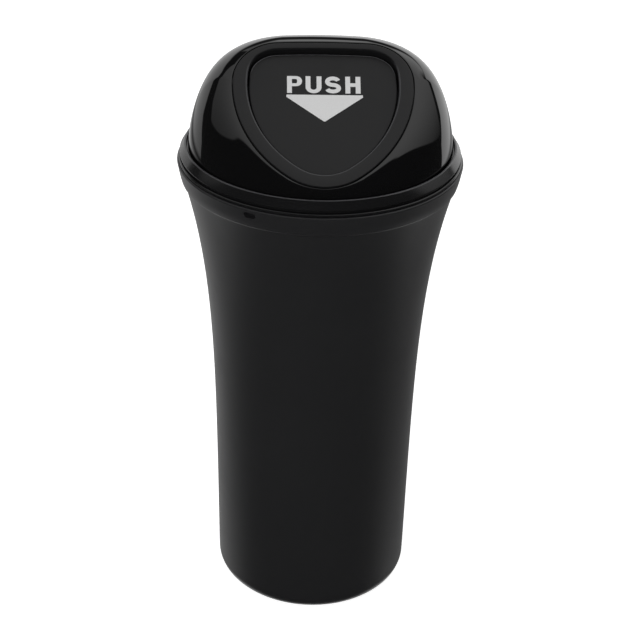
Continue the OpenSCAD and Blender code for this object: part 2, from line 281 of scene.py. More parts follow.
def rounded(corners, radii, steps=4, closed=False):
    """A polyline whose corners are replaced by tangent arcs of the given radii."""
    corners = np.asarray(corners, float)
    last = len(corners) - 1
    points = []
    for i, (corner, radius) in enumerate(zip(corners, radii)):
        if radius == 0 or (not closed and i in (0, last)):
            points.append(corner)
            continue
        to_last = corners[i - 1] - corner
        to_next = corners[(i + 1) % len(corners)] - corner
        to_last /= np.linalg.norm(to_last)
        to_next /= np.linalg.norm(to_next)
        half = math.acos(np.clip(to_last @ to_next, -1, 1)) / 2
        reach = radius / math.tan(half)
        bisector = (to_last + to_next) / np.linalg.norm(to_last + to_next)
        centre = corner + bisector * radius / math.sin(half)
        start, end = corner + to_last * reach - centre, corner + to_next * reach - centre
        sweep = math.pi - 2 * half
        for share in np.linspace(0, 1, steps + 1):
            mix = math.sin((1 - share) * sweep) * start + math.sin(share * sweep) * end
            points.append(centre + mix / math.sin(sweep))
    return np.array(points)


def grid_faces(rows, columns, close_rows, close_columns):
    """Corner numbers of the quads between neighbouring rows and columns of a grid."""
    i = np.arange(rows if close_rows else rows - 1)[:, None]
    j = np.arange(columns if close_columns else columns - 1)[None, :]
    right, below = (j + 1) % columns, (i + 1) % rows
    quads = [i * columns + j, i * columns + right, below * columns + right, below * columns + j]
    return np.stack(np.broadcast_arrays(*quads), -1).reshape(-1, 4)


def signed_volume(points, faces):
    """Volume that the faces enclose, negative where they point inwards."""
    total = 0.0
    for face in faces:
        p = points[np.asarray(face)]
        total += np.einsum("ij,ij->i", np.cross(p[1:-1], p[2:]), np.repeat(p[:1], len(p) - 2, 0)).sum()
    return total / 6


class Shape:
    """Points in millimetres and faces of one or more closed solids, gathered for one mesh."""

    def __init__(self):
        self.points = []
        self.faces = []
        self.count = 0

    def add(self, points, faces):
        """Adds a closed solid and turns its faces outwards."""
        points = np.asarray(points, float).reshape(-1, 3)
        faces = [list(map(int, face)) for face in faces]
        if signed_volume(points, faces) < 0:
            faces = [face[::-1] for face in faces]
        self.faces += [[self.count + k for k in face] for face in faces]
        self.points.append(points)
        self.count += len(points)
        return self

    def ring(self, sections):
        """Closed section carried round a closed path."""
        rows, columns = sections.shape[:2]
        return self.add(sections, grid_faces(rows, columns, True, True))

    def stack(self, loops):
        """Closed loops one after another, with the first and the last capped."""
        rows, columns = loops.shape[:2]
        faces = grid_faces(rows, columns, False, True).tolist()
        faces.append(list(range(columns - 1, -1, -1)))
        faces.append(list(range((rows - 1) * columns, rows * columns)))
        return self.add(loops, faces)

    def mesh(self, name, sharp=32):
        """The Blender object, smooth but for edges sharper than the given angle."""
        data = bpy.data.meshes.new(name)
        data.from_pydata((np.concatenate(self.points) * MM).tolist(), [], self.faces)
        data.shade_smooth()
        data.set_sharp_from_angle(angle=math.radians(sharp))
        piece = bpy.data.objects.new(name, data)
        bpy.context.scene.collection.objects.link(piece)
        return piece


def marked(piece, highlighted):
    """Writes how strongly each point of a piece gets the painted edge highlight, from 0 to 1. Points past the
    end of the list get none.
    """
    marks = np.zeros(len(piece.data.vertices))
    marks[:len(highlighted)] = highlighted
    piece.data.attributes.new("painted_edge_highlight", "FLOAT", "POINT").data.foreach_set("value", marks)
    return piece


def place(piece, body, slot, material, *nodes):
    """Rides a finished piece on its body, with its material and the nodes it stands for. The slot is not
    used.
    """
    piece.data.materials.append(material)
    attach(piece, body)
    if nodes:
        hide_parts(*nodes)
    return piece


def turned(profile, angles=None):
    """Profile of radius and height turned about Z; its ends lie on the axis or it is closed."""
    if angles is None:
        angles = np.linspace(0, 2 * math.pi, ROUND_STEPS, endpoint=False)
    radius, height = profile[:, 0], profile[:, 1]
    x = np.cos(angles)[:, None] * radius
    y = np.sin(angles)[:, None] * radius
    return np.stack([x, y, np.broadcast_to(height, x.shape)], -1)


# Finishes

def group_of(name, inputs, outputs):
    """An empty shader node group with its named sockets, and its two end nodes."""
    group = bpy.data.node_groups.new(name, "ShaderNodeTree")
    for label, value in inputs.items():
        group.interface.new_socket(label, in_out="INPUT", socket_type="NodeSocketFloat").default_value = value
    for label in outputs:
        group.interface.new_socket(label, in_out="OUTPUT", socket_type="NodeSocketFloat")
    return group, group.nodes.new("NodeGroupInput"), group.nodes.new("NodeGroupOutput")


def math_node(tree, operation, *values):
    """A math node whose inputs are sockets or numbers; returns its output."""
    node = tree.nodes.new("ShaderNodeMath")
    node.operation = operation
    for socket, value in zip(node.inputs, values):
        if isinstance(value, bpy.types.NodeSocket):
            tree.links.new(value, socket)
        else:
            socket.default_value = value
    return node.outputs[0]


def noise_node(tree, vector, scale, detail=2.0, roughness=0.5):
    """Noise over a vector, at a scale per metre that is a socket or a number."""
    node = tree.nodes.new("ShaderNodeTexNoise")
    tree.links.new(vector, node.inputs["Vector"])
    if isinstance(scale, bpy.types.NodeSocket):
        tree.links.new(scale, node.inputs["Scale"])
    else:
        node.inputs["Scale"].default_value = scale
    node.inputs["Detail"].default_value = detail
    node.inputs["Roughness"].default_value = roughness
    return node.outputs["Fac"]


def moulded_grain_group():
    """Spark-eroded grain of a mould: fine noise over a coarser one, with the mould's slow unevenness."""
    inputs = {"Grains per metre": 5000.0, "Coarse share": 0.35}
    group, start, end = group_of("moulded_grain", inputs, ["Height", "Shade"])
    where = group.nodes.new("ShaderNodeTexCoord").outputs["Object"]
    fine = noise_node(group, where, start.outputs["Grains per metre"], 3, 0.6)
    coarse_scale = math_node(group, "MULTIPLY", start.outputs["Grains per metre"], 0.33)
    coarse = noise_node(group, where, coarse_scale, 2)
    mixed = math_node(group, "MULTIPLY_ADD", coarse, start.outputs["Coarse share"], fine)
    group.links.new(mixed, end.inputs["Height"])
    group.links.new(noise_node(group, where, 28.0, 3), end.inputs["Shade"])
    return group


def handling_group():
    """Marks of handling: faint cloudy smears and sparse hairline scuffs, as masks from 0 to 1."""
    group, start, end = group_of("handling", {"Smears per metre": 60.0}, ["Smear", "Scuff"])
    where = group.nodes.new("ShaderNodeTexCoord").outputs["Object"]
    cloud = noise_node(group, where, start.outputs["Smears per metre"], 5, 0.65)
    strong = math_node(group, "MULTIPLY", math_node(group, "SUBTRACT", cloud, 0.5), 3)
    smear = math_node(group, "SMOOTH_MIN", strong, 1, 0.2)
    group.links.new(math_node(group, "MAXIMUM", smear, 0), end.inputs["Smear"])
    stretch = group.nodes.new("ShaderNodeMapping")
    stretch.inputs["Rotation"].default_value = (0.4, 0.9, 0.3)
    stretch.inputs["Scale"].default_value = (1, 14, 14)
    group.links.new(where, stretch.inputs["Vector"])
    lines = noise_node(group, stretch.outputs["Vector"], 90.0, 1)
    band = math_node(group, "ABSOLUTE", math_node(group, "SUBTRACT", lines, 0.52))
    hair = math_node(group, "SUBTRACT", 1, math_node(group, "MULTIPLY", band, 160))
    rare = math_node(group, "GREATER_THAN", noise_node(group, where, 45.0, 0), 0.58)
    scuff = math_node(group, "MULTIPLY", math_node(group, "MAXIMUM", hair, 0), rare)
    group.links.new(scuff, end.inputs["Scuff"])
    return group


GRAIN = moulded_grain_group()
HANDLING = handling_group()


def scaled_colour(tree, colour, factor):
    """The colour brightened or darkened by a varying factor."""
    node = tree.nodes.new("ShaderNodeVectorMath")
    node.operation = "SCALE"
    node.inputs[0].default_value = colour
    tree.links.new(factor, node.inputs["Scale"])
    return node.outputs["Vector"]


def painted_highlight_group():
    """Painted highlight along a marked edge: the mark, broken up a little by noise, as a mask from 0 to 1."""
    group, start, end = group_of("painted_edge_highlight", {"Breaks per metre": 700.0}, ["Mask"])
    # Painted highlight: this mask stands in for light caught on rounded edges.
    mark = group.nodes.new("ShaderNodeAttribute")
    mark.attribute_name = "painted_edge_highlight"
    where = group.nodes.new("ShaderNodeTexCoord").outputs["Object"]
    breaks = noise_node(group, where, start.outputs["Breaks per metre"], 2)
    uneven = math_node(group, "MULTIPLY_ADD", breaks, 0.5, 0.6)
    group.links.new(math_node(group, "MULTIPLY", mark.outputs["Fac"], uneven), end.inputs["Mask"])
    return group


PAINTED_HIGHLIGHT = painted_highlight_group()


def plastic(name, colour, roughness, grains, grain_depth, unevenness=0.1, smears=0.05, shine=0.5, highlight_gain=0.0):
    """Moulded plastic: grain as bump, a slow unevenness of shade, smears that change its roughness, and
    a painted highlight along marked edges, whose colour is made paler by a factor."""
    material = bpy.data.materials.new(name)
    material.use_nodes = True
    tree = material.node_tree
    shader = tree.nodes["Principled BSDF"]
    grain = tree.nodes.new("ShaderNodeGroup")
    grain.node_tree = GRAIN
    grain.inputs["Grains per metre"].default_value = grains
    marks = tree.nodes.new("ShaderNodeGroup")
    marks.node_tree = HANDLING
    shade = math_node(tree, "MULTIPLY_ADD", grain.outputs["Shade"], 2 * unevenness, 1 - unevenness)
    shade = math_node(tree, "MULTIPLY_ADD", marks.outputs["Scuff"], unevenness, shade)
    # Painted highlight: marked edges get a paler colour that stands in for light caught on their rounding.
    if highlight_gain:
        edge = tree.nodes.new("ShaderNodeGroup")
        edge.node_tree = PAINTED_HIGHLIGHT
        shade = math_node(tree, "MULTIPLY_ADD", edge.outputs["Mask"], highlight_gain, shade)
    tree.links.new(scaled_colour(tree, colour, shade), shader.inputs["Base Color"])
    rough = math_node(tree, "MULTIPLY_ADD", marks.outputs["Smear"], smears, roughness)
    rough = math_node(tree, "MULTIPLY_ADD", marks.outputs["Scuff"], smears, rough)
    tree.links.new(rough, shader.inputs["Roughness"])
    bump = tree.nodes.new("ShaderNodeBump")
    bump.inputs["Strength"].default_value = 1.0
    bump.inputs["Distance"].default_value = grain_depth * MM
    tree.links.new(grain.outputs["Height"], bump.inputs["Height"])
    tree.links.new(bump.outputs["Normal"], shader.inputs["Normal"])
    shader.inputs["Specular IOR Level"].default_value = shine
    return material


def drawn_steel(name):
    """Drawn steel wire: bright metal with fine lines along X and a little uneven roughness."""
    material = bpy.data.materials.new(name)
    material.use_nodes = True
    tree = material.node_tree
    shader = tree.nodes["Principled BSDF"]
    shader.inputs["Metallic"].default_value = 1.0
    where = tree.nodes.new("ShaderNodeTexCoord").outputs["Object"]
    stretch = tree.nodes.new("ShaderNodeMapping")
    stretch.inputs["Scale"].default_value = (0.04, 1, 1)
    tree.links.new(where, stretch.inputs["Vector"])
    lines = noise_node(tree, stretch.outputs["Vector"], 9000.0, 2)
    tint = math_node(tree, "MULTIPLY_ADD", lines, 0.3, 0.85)
    tree.links.new(scaled_colour(tree, (0.56, 0.56, 0.58), tint), shader.inputs["Base Color"])
    tree.links.new(math_node(tree, "MULTIPLY_ADD", lines, 0.2, 0.2), shader.inputs["Roughness"])
    return material


def printed_ink(name):
    """Pale printed ink with a faint mottle where it lies thinner."""
    material = bpy.data.materials.new(name)
    material.use_nodes = True
    tree = material.node_tree
    shader = tree.nodes["Principled BSDF"]
    where = tree.nodes.new("ShaderNodeTexCoord").outputs["Object"]
    mottle = noise_node(tree, where, 2600.0, 3, 0.6)
    tint = math_node(tree, "MULTIPLY_ADD", mottle, 0.14, 0.92)
    tree.links.new(scaled_colour(tree, (0.68, 0.68, 0.68), tint), shader.inputs["Base Color"])
    tree.links.new(math_node(tree, "MULTIPLY_ADD", mottle, 0.15, 0.45), shader.inputs["Roughness"])
    return material


# The collar's, bezel's and flap's finishes paint a paler highlight along their marked edges.
SATIN = plastic(
    "satin_black_plastic", (0.015, 0.015, 0.016), roughness=0.4, grains=4200.0, grain_depth=0.006)
SMOOTH = plastic(
    "smooth_black_plastic", (0.0065, 0.0065, 0.0069), roughness=0.17, grains=4200.0, grain_depth=0.0015,
    highlight_gain=9)
GLOSS = plastic(
    "gloss_black_plastic", (0.0028, 0.0028, 0.003), roughness=0.035, grains=500.0, grain_depth=0.0006,
    unevenness=0.12, smears=0.03)
MATT = plastic(
    "matt_black_bezel", (0.007, 0.007, 0.0074), roughness=0.32, grains=5600.0, grain_depth=0.008,
    shine=0.26, highlight_gain=7)
CHARCOAL = plastic(
    "matt_charcoal_flap", (0.0095, 0.0095, 0.01), roughness=0.44, grains=5200.0, grain_depth=0.016,
    shine=0.26, highlight_gain=15)
STEEL = drawn_steel("drawn_steel")
INK = printed_ink("pale_ink")


# Turned pieces

def dimple_depth(angle, height):
    """Depth of the oval pocket in the rim band: full inside a stadium shape, with a soft edge."""
    across = np.maximum(np.abs((angle - DIMPLE_TURN) * MOUTH_R) - DIMPLE_L / 2, 0)
    distance = np.hypot(across, height - STEP_Z - DIMPLE_HEIGHT)
    share = np.clip((DIMPLE_R + DIMPLE_SOFT / 4 - distance) / DIMPLE_SOFT, 0, 1)
    return DIMPLE_DEPTH * share * share * (3 - 2 * share)


def make_barrel():
    """Barrel: a profile of foot, flare, stepped rim band and inside, turned about Z, with the pocket pressed
    in. The band's crown is its share of height times the square of what is left above it."""
    floor_z = FOOT_RECESS + FLOOR_T
    inner_round = FOOT_ROUND - BARREL_WALL
    heights = FOOT_ROUND + (STEP_Z - FOOT_ROUND) * np.linspace(0, 1, FLARE_STEPS) ** FLARE_SPREAD
    foot = rounded([[FOOT_RING_IN, 0], [BASE_R, 0], [BASE_R, FOOT_ROUND]], [0, FOOT_ROUND - 0.001, 0], 14)
    outside = np.stack([barrel_outer(heights), heights], -1)[1:-1]
    foot_r = FLARE_R + BAND_STEP
    band_z = np.linspace(STEP_Z + BAND_EDGE_H, BARREL_H - RIM_ROUND - 0.05, BAND_STEPS)
    share = (band_z - STEP_Z) / BAND_H
    crown = BAND_CROWN * share * (1 - share) ** 2
    band_r = foot_r + (MOUTH_R - foot_r) * (band_z - STEP_Z) / (BAND_H - RIM_ROUND) + crown
    band = np.stack([band_r, band_z], -1)
    ledge = rounded(
        [outside[-1], [FLARE_R, STEP_Z], [band[0, 0] - BAND_EDGE_IN, STEP_Z], band[0]],
        [0, FINE_EDGE, BAND_ROUND, 0], 8)[1:-1]
    top = rounded(
        [band[-1], [MOUTH_R, BARREL_H], [barrel_inner(BARREL_H), BARREL_H], [barrel_inner(STEP_Z), STEP_Z]],
        [0, RIM_ROUND, RIM_IN_ROUND, 0], 6)[1:-1]
    in_z = floor_z + inner_round + (STEP_Z - floor_z - inner_round) * np.linspace(1, 0, INSIDE_STEPS)
    inside = np.stack([barrel_inner(in_z), in_z], -1)
    in_r = barrel_inner(floor_z)
    bowl = rounded([inside[-1], [in_r, floor_z], [0, floor_z]], [0, inner_round - 0.02, 0], 10)[1:]
    under = rounded(
        [[0, FOOT_RECESS], [FOOT_RING_IN - FOOT_RECESS, FOOT_RECESS], [FOOT_RING_IN, 0],
         [FOOT_RING_IN + FOOT_RING_W, 0]],
        [0, FOOT_EDGE, FOOT_EDGE, 0], 4)[:-1]
    profile = np.concatenate([foot[1:], outside, ledge, band, top, inside, bowl, under])
    fine = DIMPLE_TURN + np.linspace(-0.5, 0.5, DIMPLE_STEPS) * DIMPLE_SPAN / MOUTH_R
    coarse = np.linspace(0, 2 * math.pi, ROUND_STEPS, endpoint=False) - math.pi
    coarse = coarse[(coarse < fine[0] - 0.01) | (coarse > fine[-1] + 0.01)]
    angles = np.sort(np.concatenate([coarse, fine]))
    points = turned(profile, angles)
    in_band = (profile[:, 1] > STEP_Z + 0.2) & (profile[:, 0] > MOUTH_R - 0.8 * BAND_WALL)
    depth = dimple_depth(angles[:, None], profile[None, :, 1]) * in_band
    points[..., 0] -= depth * np.cos(angles)[:, None]
    points[..., 1] -= depth * np.sin(angles)[:, None]
    return poled(points).mesh("barrel_shell")


def poled(points):
    """A turned grid whose profile starts or ends on the axis: those points become one each."""
    rows, columns = points.shape[:2]
    on_axis = np.flatnonzero(np.hypot(points[0, :, 0], points[0, :, 1]) < 1e-6)
    number = np.arange(rows * columns).reshape(rows, columns)
    number[:, on_axis] = number[0, on_axis]
    quads = number.ravel()[grid_faces(rows, columns, True, True)]
    faces = []
    for quad in quads.tolist():
        face = [k for i, k in enumerate(quad) if k != quad[i - 1]]
        if len(face) > 2:
            faces.append(face)
    used = np.unique(number)
    renumber = np.full(rows * columns, -1)
    renumber[used] = np.arange(len(used))
    faces = [[int(renumber[k]) for k in face] for face in faces]
    return Shape().add(points.reshape(-1, 3)[used], faces)


def make_bag_ring():
    """Bag ring: a half-round bead on the rim, a neck above it that the lid sits on, and a wedge skirt that
    follows the barrel's inside."""
    skirt_z = BARREL_H - RING_SKIRT
    bore = barrel_inner(skirt_z) - BAG_ROOM - RING_WALL
    bead = BEAD_H / 2
    wedge_z = np.linspace(skirt_z, BARREL_H, WEDGE_STEPS)
    wedge = np.stack([barrel_inner(wedge_z) - BAG_ROOM, wedge_z], -1)
    arc = np.linspace(-math.pi / 2, math.pi / 2, BEAD_STEPS + 1)
    round_edge = np.stack([BEAD_R - bead + bead * np.cos(arc), BARREL_H + bead + bead * np.sin(arc)], -1)
    neck_r = BEAD_R - NECK_IN
    inside = rounded(
        [[BEAD_R - bead, BARREL_H + BEAD_H], [neck_r, BARREL_H + BEAD_H], [neck_r, SEAT_Z],
         [bore, SEAT_Z], [bore, skirt_z], [bore + 1, skirt_z]],
        [0, FINE_EDGE, FINE_EDGE, 0.4, 0.15, 0], 4)
    return Shape().ring(turned(np.concatenate([wedge, round_edge, inside[1:-1]]))).mesh("bag_ring_moulding")


def make_collar():
    """Lid collar: plug, shadow gap, sloping lip with a rounded crest that carries a painted highlight, groove
    round the dome and the upstand inside it."""
    plug_r = barrel_inner(BARREL_H - RING_SKIRT) - BAG_ROOM - RING_WALL - LID_FIT
    plug_in = plug_r - PLUG_WALL
    plug_z = SEAT_Z - PLUG_DEPTH
    edge_z = SEAT_Z + SHADOW_GAP
    lip_z = SEAT_Z + LIP_H
    groove_r = DOME_R + GROOVE_W
    upstand_r = DOME_R - DOME_WALL - DOME_FIT
    upstand_z = DOME_Z + UPSTAND_H
    crest = np.array([groove_r + CREST_W, lip_z])
    plug = [[plug_in, plug_z], [plug_r - PLUG_LEAD[0], plug_z], [plug_r, plug_z + PLUG_LEAD[1]],
            [plug_r, SEAT_Z]]
    shadow = [[LIP_R - SHADOW_DEPTH, SEAT_Z], [LIP_R - SHADOW_DEPTH, edge_z]]
    lip = [[LIP_R, edge_z], [LIP_R, edge_z + LIP_EDGE_H], crest + CREST_LEAN * [1, -1], crest,
           [groove_r, lip_z]]
    upstand = [[groove_r, DOME_Z], [upstand_r, DOME_Z], [upstand_r, upstand_z], [plug_in, upstand_z]]
    radii = [0.2, 0.2, 0.3, FINE_EDGE, FINE_EDGE, FINE_EDGE, 0.12, 0.15, 0.12, FINE_EDGE, 0.14]
    radii += [FINE_EDGE, FINE_EDGE, 0.3, 0.3]
    profile = rounded(plug + shadow + lip + upstand, radii, 4, closed=True)
    # Painted highlight along the top of the crest.
    highlighted = (profile[:, 1] > lip_z - CREST_HIGHLIGHT_H) & (profile[:, 0] > groove_r + 0.1)
    return marked(Shape().ring(turned(profile)).mesh("lid_collar_moulding"), np.tile(highlighted, ROUND_STEPS))


# Dome

def skin(angle, rise, radius, inset, height):
    """Dome's skin: from a round foot to the sloping outline as a quarter of an ellipse, slackened at the
    shoulder. In front it runs out into the slope of the face, and at the back it runs out level."""
    top = on_face(outline(angle, inset), height)[:, None, :]
    across = 1 - np.cos(rise)[None, :]
    up = (np.sin(rise) ** SHOULDER)[None, :]
    around = angle[:, None]
    x = (1 - across) * radius * np.cos(around) + across * top[..., 0]
    y = (1 - across) * radius * np.sin(around) + across * top[..., 1]
    leaning = (1 - np.sin(around)) / 2 * math.tan(SLOPE) * (y - top[..., 1])
    return np.stack([x, y, SPRING_Z + up * (top[..., 2] + leaning - SPRING_Z)], -1)


def foot_ring(angle, radius):
    """Round foot of the dome, or of its lining."""
    ring = np.stack([radius * np.cos(angle), radius * np.sin(angle), np.full_like(angle, DOME_Z)], -1)
    return ring[:, None, :]


def make_dome():
    """Glossy dome: outer skin, rolled rim, seat of the bezel, opening and lining as one closed section."""
    angle = outline_angles()
    rise = np.linspace(0, math.pi / 2, DOME_STEPS + 1)
    outside = skin(angle, rise, DOME_R, -RIM_W, 0.0)
    seat = rounded(
        [[-RIM_W, 0], [-SEAT_GAP, 0], [-SEAT_GAP, -SEAT_DEPTH], [OPENING_D, -SEAT_DEPTH],
         [OPENING_D, -SEAT_DEPTH - LEDGE_T], [DOME_WALL - RIM_W, -SEAT_DEPTH - LEDGE_T]],
        [0, 0.2, 0.1, 0.15, 0.15, 0], 5)[1:-1]
    share = np.clip(seat[:, 0] / OPENING_D, 0, 1)
    rim = np.stack([on_face(outline(angle, d, s * LIFT), n) for (d, n), s in zip(seat, share)], 1)
    fall = np.linspace(math.pi / 2, 0, LINING_STEPS + 1)
    lining = skin(angle, fall, DOME_R - DOME_WALL, DOME_WALL - RIM_W, -SEAT_DEPTH - LEDGE_T)
    sections = np.concatenate(
        [foot_ring(angle, DOME_R), outside, rim, lining, foot_ring(angle, DOME_R - DOME_WALL)], 1)
    return Shape().ring(sections).mesh("dome_shell", 50)


# Bezel, flap, hinge and spring

def face_loops(side, top, lifted):
    """Loops round the sloping face, one for each point of a section of insets and heights. The section goes
    over from its form at the sides to its form along the top, and each loop is lifted by its own share."""
    angle = outline_angles()
    share = top_share(angle)
    loops = []
    for (d_side, n_side), (d_top, n_top), lift in zip(side, top, lifted):
        inset = d_side + (d_top - d_side) * share
        loops.append(on_face(outline(angle, inset, lift * LIFT), n_side + (n_top - n_side) * share))
    return np.stack(loops)


def pin_place():
    """Middle of the pin's axis in the face's own axes: across, up the slope, height."""
    top = outline(np.array([math.pi / 2]), FLAP_D, LIFT)[0, 1]
    return np.array([0, top - PIN_BACK, PIN_N])


def about_pin(points):
    """Points given along the pin, up the slope and out of the face from the pin, as x, y, z of the bin."""
    placed = np.asarray(points, float) + pin_place()
    return on_face(placed[..., :2], placed[..., 2])


def pierced(start, end, reach, bore):
    """Solid round the pin between two places along it: an outline given as reach by angle, with a bore."""
    angle = np.linspace(0, 2 * math.pi, BORE_STEPS, endpoint=False)
    unit = np.stack([np.cos(angle), np.sin(angle)], -1)
    outer, inner = unit * reach(angle)[:, None], unit * bore
    section = [(start, inner), (start, outer), (end, outer), (end, inner)]
    rings = [np.column_stack([np.full(len(angle), x), ring]) for x, ring in section]
    return about_pin(np.stack(rings, 1))


def box_reach(angle, right, left, up, down):
    """Distance from the pin to the walls of a box round it, by angle: the nearer of the upright wall's and
    the level wall's."""
    c, s = np.cos(angle), np.sin(angle)
    sideways = np.where(c > 0, right, left) / np.maximum(np.abs(c), 1e-9)
    upright = np.where(s > 0, up, down) / np.maximum(np.abs(s), 1e-9)
    return np.minimum(sideways, upright)


def ear_reach(angle):
    """Ear: the round boss, its bar to the well and the root under the well's edge."""
    bar = WELL_WALL + PIN_BACK + TOP_GAIN - ROOT_OVERLAP
    root = EAR_ROOT - PIN_N - WELL_DEPTH
    reach = np.maximum(KNUCKLE_R, box_reach(angle, bar, 0, KNUCKLE_R, KNUCKLE_R))
    top_corner = math.atan2(root, bar)
    near = (angle > math.atan2(KNUCKLE_R, bar)) & (angle < math.atan2(root, bar - 1))
    lifted = np.where(angle < top_corner, bar / np.cos(angle), root / np.maximum(np.sin(angle), 0.1))
    return np.where(near, lifted, reach)


def knuckle_reach(angle):
    """Knuckle: the round barrel of the hinge and the block that joins it to the back of the flap."""
    block = box_reach(angle, KNUCKLE_R - ROOT_OVERLAP, KNUCKLE_R, KNUCKLE_R + EAR_GAP + ROOT_OVERLAP / 2, 0)
    return np.maximum(KNUCKLE_R, block)


def snap_hook(angle):
    """Wedge on the well's outside that snaps behind the dome's ledge, as an extruded outline."""
    top = -(SEAT_DEPTH + LEDGE_T + 0.1)
    low = 0.2 - WELL_DEPTH
    tip = BEZEL_GAP + HOOK_REACH
    wedge = [[-HOOK_ROOT, top], [tip, top], [tip, top - HOOK_EDGE_H], [-0.2, low], [-HOOK_ROOT, low]]
    wedge = rounded(wedge, [0, 0.12, 0.12, 0.05, 0], 3, closed=True)
    root = outline(np.array([angle]), SKIRT_D, LIFT)[0]
    out = np.array([math.cos(angle), math.sin(angle)])
    along = np.array([-out[1], out[0]])
    ends = []
    for place_along in (-HOOK_L / 2, HOOK_L / 2):
        flat = root + wedge[:, :1] * out + place_along * along
        ends.append(on_face(flat, wedge[:, 1]))
    return np.stack(ends)


def bezel_section(face_in, well_in):
    """Section of the bezel's face, well and skirt, with rounded corners, between the insets at which the
    face ends and the well stands."""
    return rounded(
        [[0, -SEAT_DEPTH], [0, PROUD], [face_in, PROUD], [well_in, -FLAP_SINK - WELL_LEAN_END],
         [well_in, -WELL_DEPTH], [SKIRT_D, -WELL_DEPTH], [SKIRT_D, -SEAT_DEPTH]],
        [0.08, 0.3, 0.6] + [FINE_EDGE] * 4, 7, closed=True)


def make_bezel():
    """Bezel: one rounded section carried round the outline, whose face is narrower along the top, with hooks
    and ears. A painted highlight lies on the edge that borders the well at the sides and below."""
    side = bezel_section(WELL_D - SIDE_FACE_IN, WELL_D)
    top = bezel_section(FACE_W + TOP_FACE_IN, WELL_D - TOP_GAIN)
    lifted = np.clip((top[:, 0] - LIFT_EDGE) / (FACE_W - 2 * LIFT_EDGE), 0, 1)
    shape = Shape().ring(face_loops(side, top, lifted))
    # Painted highlight on the inner edge, left off along the top.
    highlighted = (side[:, 0] > WELL_D - BEZEL_HIGHLIGHT_W) & (side[:, 1] > PROUD - BEZEL_HIGHLIGHT_W)
    for degrees in HOOK_ANGLES:
        shape.stack(snap_hook(math.radians(degrees)))
    for place_side in (-1, 1):
        shape.ring(pierced(place_side * EAR_X, place_side * (EAR_X + EAR_T), ear_reach, PIN_R))
    away = 1 - top_share(outline_angles())
    return marked(shape.mesh("bezel_moulding"), (highlighted[:, None] * away).ravel())


def make_flap():
    """Flap: one skin over its face, rounded edge and stop rim, which lies flat in the half by the hinge. Its
    edge carries a painted highlight along the top."""
    angle = outline_angles()
    back = -(FLAP_SINK + FLAP_T)
    rim_out, rim_in = FLAP_D + STOP_IN, FLAP_D + STOP_IN + STOP_WALL
    rim_top = -(WELL_DEPTH + STOP_GAP)
    rim_low = rim_top - STOP_T
    face = rounded(
        [[FLAP_D + 6, -FLAP_SINK], [FLAP_D + 1.2, -FLAP_SINK], [FLAP_D, -FLAP_SINK], [FLAP_D, back],
         [rim_out, back]],
        [0, 0, FLAP_ROUND, 0, 0], 7)
    rim = rounded(
        [[rim_out, back], [rim_out, rim_top], [STOP_D, rim_top], [STOP_D, rim_low], [rim_in, rim_low],
         [rim_in, back]],
        [0, 0, 0.15, 0.15, 0.15, 0], 3)
    flat = np.stack([np.linspace(rim_out, rim_in, len(rim)), np.full(len(rim), back)], -1)
    deep = (1 - np.clip(np.sin(angle) / math.sin(STOP_END), 0, 1))[:, None]
    gain = TOP_GAIN * top_share(angle)
    loops = [on_face(outline(angle, d - gain, LIFT), n) for d, n in face[:-1]]
    # Painted highlight on the rounded edge, only along the top.
    highlighted = (face[:-1, 0] < FLAP_D + FLAP_HIGHLIGHT[0]) & (face[:-1, 1] > -FLAP_SINK - FLAP_HIGHLIGHT[1])
    for low, level in zip(rim, flat):
        inset = (low[0] * deep + level[0] * (1 - deep))[:, 0]
        height = (low[1] * deep + level[1] * (1 - deep))[:, 0]
        loops.append(on_face(outline(angle, inset - gain, LIFT), height))
    shape = Shape().stack(np.stack(loops))
    near = EAR_X - SIDE_PLAY - KNUCKLE_LEN
    for side in (-1, 1):
        shape.ring(pierced(side * near, side * (near + KNUCKLE_LEN), knuckle_reach, PIN_R + PIN_FIT))
    return marked(shape.mesh("flap_moulding"), (highlighted[:, None] * top_share(angle)).ravel())


def wire(path, radius):
    """Round wire along a path that never runs along X, with domed ends."""
    path = np.asarray(path, float)
    way = np.gradient(path, axis=0)
    way /= np.linalg.norm(way, axis=1)[:, None]
    out = np.array([1.0, 0, 0]) - way[:, :1] * way
    out /= np.linalg.norm(out, axis=1)[:, None]
    up = np.cross(way, out)
    turn = np.linspace(0, 2 * math.pi, WIRE_SIDES, endpoint=False)
    size = np.ones(len(path))
    size[[0, -1]] = 0.6
    circle = out[:, None] * np.cos(turn)[:, None] + up[:, None] * np.sin(turn)[:, None]
    return path[:, None] + radius * size[:, None, None] * circle


def make_spring():
    """Torsion spring round the pin, in two pieces: the coil with its arm on the well, and the flap's arm."""
    coil_r = PIN_R + WIRE_R + COIL_PLAY
    pitch = 2 * WIRE_R + TURN_PLAY
    half = SPRING_TURNS * pitch / 2
    turn = np.linspace(0, SPRING_TURNS, SPRING_TURNS * COIL_STEPS + 1)
    angle = math.pi / 2 + 2 * math.pi * turn
    coil = np.stack([-half + pitch * turn, coil_r * np.cos(angle), coil_r * np.sin(angle)], -1)
    well_arm = np.linspace([-half, PIN_BACK + WELL_WALL, coil_r + TURN_PLAY], coil[0], 12)[:-1]
    shape = Shape().stack(wire(about_pin(np.concatenate([well_arm, coil])), WIRE_R))
    arm_end = KNUCKLE_R + EAR_GAP - WIRE_R - ARM_PLAY
    flap_arm = np.linspace(coil[-1], [half, -SPRING_ARM, arm_end], 16)
    arm = Shape().stack(wire(about_pin(flap_arm), WIRE_R))
    return shape.mesh("spring_coil", 60), arm.mesh("spring_arm", 60)


# Print on the flap

